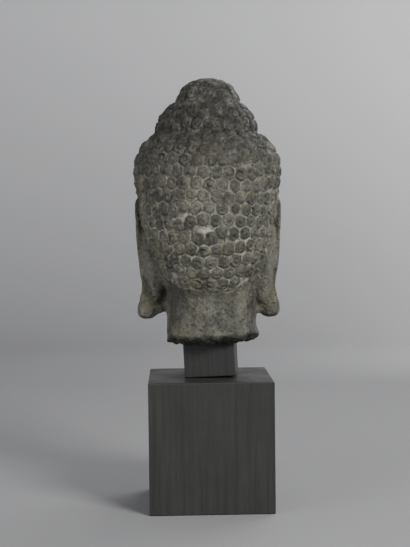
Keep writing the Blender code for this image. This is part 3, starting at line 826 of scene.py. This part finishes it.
# Finish: rubbed and dull spots, and open pores
rubbed = node(tree, "ShaderNodeMapRange", (-500, -700), To_Min=0.38, To_Max=0.74)
feed(tree, rubbed.inputs["Value"], speckle(tree, (-900, -900), GLOSS_SIZE, 0.3, 0.7))
tree.links.new(rubbed.outputs["Result"], shader.inputs["Roughness"])
shader.inputs["Specular IOR Level"].default_value = 0.45
pores = speckle(tree, (-1500, -1400), PORE_SIZE, 0.25, 0.75, 6.0)
surface = sums(tree, (-700, -1100), "SUBTRACT", product(tree, (-900, -1100), pores, 0.7),
               product(tree, (-900, -1250), holes, 0.8))
stone_bump = node(tree, "ShaderNodeBump", (-300, -400), Strength=0.9, Distance=0.0022)
tree.links.new(surface, stone_bump.inputs["Height"])
tree.links.new(stone_bump.outputs["Normal"], shader.inputs["Normal"])
head.data.materials.append(stone)
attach(head, "root")
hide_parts("buddha_head")

# Spacer block
# A short square block of dark stained wood between the stone and the plinth. It leans, and is turned
# a little, so that one foot is just clear of the plinth, and its edges are barely eased.

STAIN_SIZE = 0.040

wood_grain = bpy.data.node_groups.new("wood_grain", "ShaderNodeTree")
wood_grain.interface.new_socket("Streak Size", in_out="INPUT", socket_type="NodeSocketFloat")
wood_grain.interface.new_socket("Streaks", in_out="OUTPUT", socket_type="NodeSocketFloat")
wood_grain.interface.new_socket("Stain", in_out="OUTPUT", socket_type="NodeSocketFloat")
grain_in = wood_grain.nodes.new("NodeGroupInput")
grain_out = wood_grain.nodes.new("NodeGroupOutput")
grain_place = node(wood_grain, "ShaderNodeTexCoord", (-900, 0))
grain_long = node(wood_grain, "ShaderNodeMapping", (-700, 0), Scale=(1, 1, 0.045))
wood_grain.links.new(grain_place.outputs["Object"], grain_long.inputs["Vector"])
grain_noise = node(wood_grain, "ShaderNodeTexNoise", (-500, 0), Detail=5.0, Roughness=0.6)
wood_grain.links.new(grain_long.outputs["Vector"], grain_noise.inputs["Vector"])
wood_grain.links.new(sums(wood_grain, (-700, -200), "DIVIDE", 1.0, grain_in.outputs["Streak Size"]),
                     grain_noise.inputs["Scale"])
wood_grain.links.new(spread(wood_grain, (-300, 0), grain_noise.outputs["Fac"], 0.3, 0.7),
                     grain_out.inputs["Streaks"])
wood_grain.links.new(speckle(wood_grain, (-300, -300), STAIN_SIZE, 0.36, 0.64, 5.0, (1, 1, 0.7)),
                     grain_out.inputs["Stain"])


def stained_wood(name, streak_size, dark, light, roughness):
    """Wood with upright streaks between a dark and a light stain, and a cloudy finish."""
    wood, tree, shader = blank_material(name)
    grain = node(tree, "ShaderNodeGroup", (-900, 200), node_tree=wood_grain, Streak_Size=streak_size)
    streaked = mixed(tree, (-500, 300), grain.outputs["Streaks"], dark, light)
    cloudy = product(tree, (-500, 100), grain.outputs["Stain"], 0.65)
    tree.links.new(mixed(tree, (-300, 300), cloudy, streaked, dark), shader.inputs["Base Color"])
    rubbed = node(tree, "ShaderNodeMapRange", (-300, 0), To_Min=roughness - 0.06,
                  To_Max=roughness + 0.08)
    feed(tree, rubbed.inputs["Value"], grain.outputs["Stain"])
    tree.links.new(rubbed.outputs["Result"], shader.inputs["Roughness"])
    shader.inputs["Specular IOR Level"].default_value = 0.2
    ridges = node(tree, "ShaderNodeBump", (-300, -200), Strength=0.25, Distance=0.0003)
    feed(tree, ridges.inputs["Height"], grain.outputs["Streaks"])
    tree.links.new(ridges.outputs["Normal"], shader.inputs["Normal"])
    return wood


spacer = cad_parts["neck_block"]
spacer.data.materials.clear()
spacer.data.materials.append(stained_wood("dull_stained_wood", 0.004, (0.028, 0.0275, 0.027, 1),
                                          (0.045, 0.0445, 0.043, 1), 0.5))

# Plinth
# A solid block of wood, stained almost black and rubbed to a dull, smooth finish. The grain
# runs upright, and its edges are only just eased.

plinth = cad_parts["plinth"]
plinth.data.materials.clear()
plinth.data.materials.append(stained_wood("rubbed_stained_wood", 0.006, (0.029, 0.0295, 0.028, 1),
                                          (0.046, 0.0465, 0.043, 1), 0.5))

# Studio
# A plain floor that curves up into a pale wall all round, its paint darker low down as painted
# shade; a large soft lamp on one side, a weaker one on the other, one in front of the face, one on
# the wall, and the camera behind the head.

ROOM_RADIUS = 2.9
ROOM_HEIGHT = 3.2
ROOM_CURVE = 0.9
ROOM_STEPS = 12

bpy.ops.object.select_all(action="DESELECT")
profile = [(0.0, 0.0), (ROOM_RADIUS - ROOM_CURVE, 0.0)]
for i in range(1, ROOM_STEPS + 1):
    turn = math.pi / 2 * i / ROOM_STEPS
    profile.append((ROOM_RADIUS - ROOM_CURVE + ROOM_CURVE * math.sin(turn),
                    ROOM_CURVE - ROOM_CURVE * math.cos(turn)))
profile.append((ROOM_RADIUS, ROOM_HEIGHT))
room_mesh = bmesh.new()
line = [room_mesh.verts.new((across, 0, up)) for across, up in profile]
edges = [room_mesh.edges.new(pair) for pair in zip(line, line[1:])]
bmesh.ops.spin(room_mesh, geom=line + edges, cent=(0, 0, 0), axis=(0, 0, 1), dvec=(0, 0, 0),
               angle=2 * math.pi, steps=96, use_merge=True)
bmesh.ops.remove_doubles(room_mesh, verts=room_mesh.verts, dist=0.0001)
bmesh.ops.recalc_face_normals(room_mesh, faces=room_mesh.faces)
room_data = bpy.data.meshes.new("studio_floor")
room_mesh.to_mesh(room_data)
room_mesh.free()
room = bpy.data.objects.new("studio_floor", room_data)
bpy.context.collection.objects.link(room)
for face in room_data.polygons:
    face.use_smooth = True
room_paint_and_floor_shade, tree, shader = blank_material("pale_paint_and_floor_shade")
floor_shade_height = node(tree, "ShaderNodeSeparateXYZ", (-700, 200))
tree.links.new(node(tree, "ShaderNodeTexCoord", (-900, 200)).outputs["Object"],
               floor_shade_height.inputs["Vector"])
# Painted shade: the floor is darker, the paint growing paler up the wall to 1.1 metres
tree.links.new(mixed(tree, (-300, 200), spread(tree, (-500, 200), floor_shade_height.outputs["Z"], 0.0, 1.1),
                     (0.30, 0.300, 0.304, 1), (0.61, 0.611, 0.622, 1)), shader.inputs["Base Color"])
shader.inputs["Roughness"].default_value = 0.9
room.data.materials.append(room_paint_and_floor_shade)


def lamp(name, place, target, size, power):
    """A large soft square lamp facing a point."""
    made = bpy.data.objects.new(name, bpy.data.lights.new(name, "AREA"))
    made.data.shape = "SQUARE"
    made.data.size = size
    made.data.energy = power
    made.location = place
    made.rotation_mode = "QUATERNION"
    made.rotation_quaternion = (Vector(target) - Vector(place)).to_track_quat("-Z", "Y")
    bpy.context.collection.objects.link(made)


lamp("main_lamp", (-1.10, 1.50, 1.20), (0, 0, 0.33), 0.7, 45)
lamp("weak_lamp", (1.5, 1.2, 0.45), (0, 0, 0.5), 1.0, 17)
lamp("front_lamp", (-0.8, -1.1, 1.5), (0, 0, 0.37), 1.2, 13)
lamp("wall_lamp", (-1.5, -1.1, 0.8), (-1.7, -2.9, 0.5), 0.9, 38)

world = bpy.data.worlds.new("studio_air")
world.use_nodes = True
world.node_tree.nodes["Background"].inputs["Color"].default_value = (0.9, 0.92, 0.95, 1)
world.node_tree.nodes["Background"].inputs["Strength"].default_value = 0.36
bpy.context.scene.world = world

CAMERA_PLACE = Vector((0.0435, 1.481, 0.3464))
CAMERA_TURN = math.radians(1.52)
CAMERA_DIP = math.radians(2.26)
CAMERA_ROLL = math.radians(0.65)
LENS = 77.7

ahead = Vector((-math.sin(CAMERA_TURN), -math.cos(CAMERA_TURN), -math.tan(CAMERA_DIP))).normalized()
right = ahead.cross(Vector((0, 0, 1))).normalized()
above = right.cross(ahead)
rolled_right = right * math.cos(CAMERA_ROLL) - above * math.sin(CAMERA_ROLL)
rolled_above = above * math.cos(CAMERA_ROLL) + right * math.sin(CAMERA_ROLL)
camera = bpy.data.objects.new("photo_camera", bpy.data.cameras.new("photo_camera"))
camera.data.lens = LENS
camera.data.sensor_width = 36
turned = Matrix((rolled_right, rolled_above, -ahead)).transposed().to_4x4()
camera.matrix_world = Matrix.Translation(CAMERA_PLACE) @ turned
bpy.context.collection.objects.link(camera)
bpy.context.scene.camera = camera
